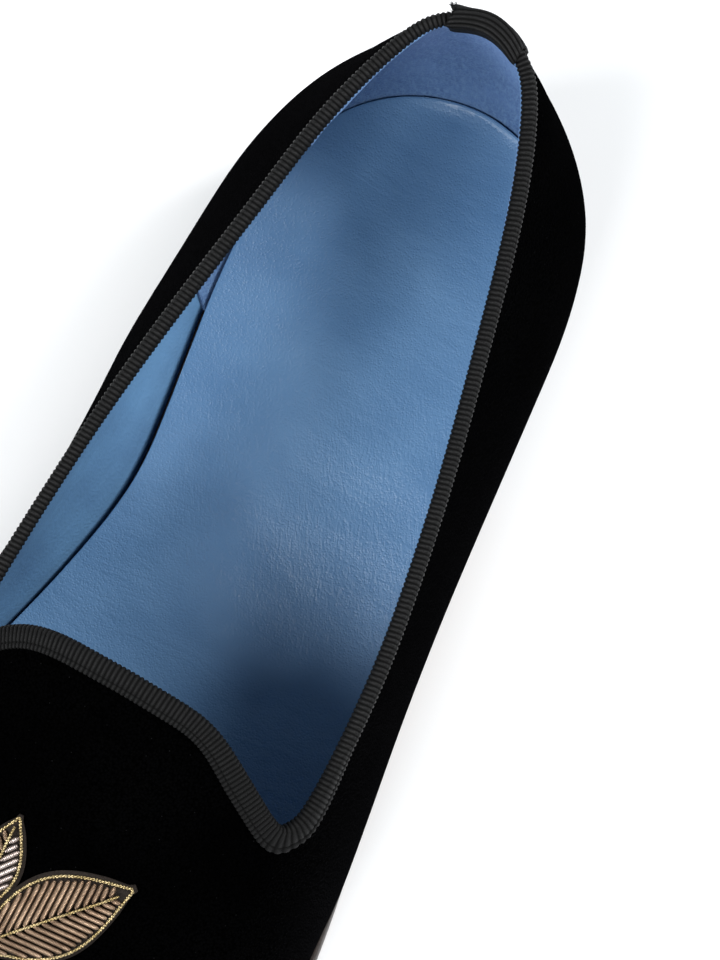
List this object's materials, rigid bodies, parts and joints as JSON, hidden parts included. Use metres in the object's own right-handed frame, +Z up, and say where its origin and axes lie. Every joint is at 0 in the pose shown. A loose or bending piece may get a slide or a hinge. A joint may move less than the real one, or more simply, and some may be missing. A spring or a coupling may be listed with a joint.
{
  "type": "velvet slipper loafer",
  "caption": "Low velvet slipper loafer with a raised tongue curve, ribbed ribbon binding, blue leather inside, leather sole, low heel and a stitched leaf sprig on the vamp.",
  "frame": {"origin": "on the floor under the middle of the shoe's box", "axes": "+Z up from the floor, -Y towards the toe, +Y towards the heel, +X towards the outer side of this left shoe"},
  "size_m": [0.1002, 0.2952, 0.0834],
  "materials": {
    "outsole": "smooth brown sole leather, dark edge",
    "heel_block": "stacked leather, dark polished edge",
    "heel_top_piece": "matt black rubber",
    "insole": "fine-grained blue sock leather",
    "upper": "black cotton velvet, blue leather inside",
    "topline_binding": "charcoal grosgrain ribbon",
    "heel_strip": "charcoal grosgrain ribbon",
    "sprig_stem": "copper-coloured metal thread over padding",
    "sprig_leaf_1": "copper-coloured metal thread over padding",
    "sprig_leaf_2": "copper-coloured metal thread over padding",
    "sprig_leaf_3": "copper-coloured metal thread over padding",
    "sprig_leaf_4": "copper-coloured metal thread over padding",
    "sprig_leaf_5": "copper-coloured metal thread over padding",
    "sprig_leaf_6": "copper-coloured metal thread over padding",
    "sprig_leaf_7": "copper-coloured metal thread over padding"
  },
  "bodies": {
    "root": {"outsole": "outsole", "heel_block": "heel_block", "heel_top_piece": "heel_top_piece", "insole": "insole", "upper": "upper", "topline_binding": "topline_binding", "heel_strip": "heel_strip", "sprig_stem": "sprig_stem", "sprig_leaf_1": "sprig_leaf_1", "sprig_leaf_2": "sprig_leaf_2", "sprig_leaf_3": "sprig_leaf_3", "sprig_leaf_4": "sprig_leaf_4", "sprig_leaf_5": "sprig_leaf_5", "sprig_leaf_6": "sprig_leaf_6", "sprig_leaf_7": "sprig_leaf_7"}
  },
  "joints": []
}
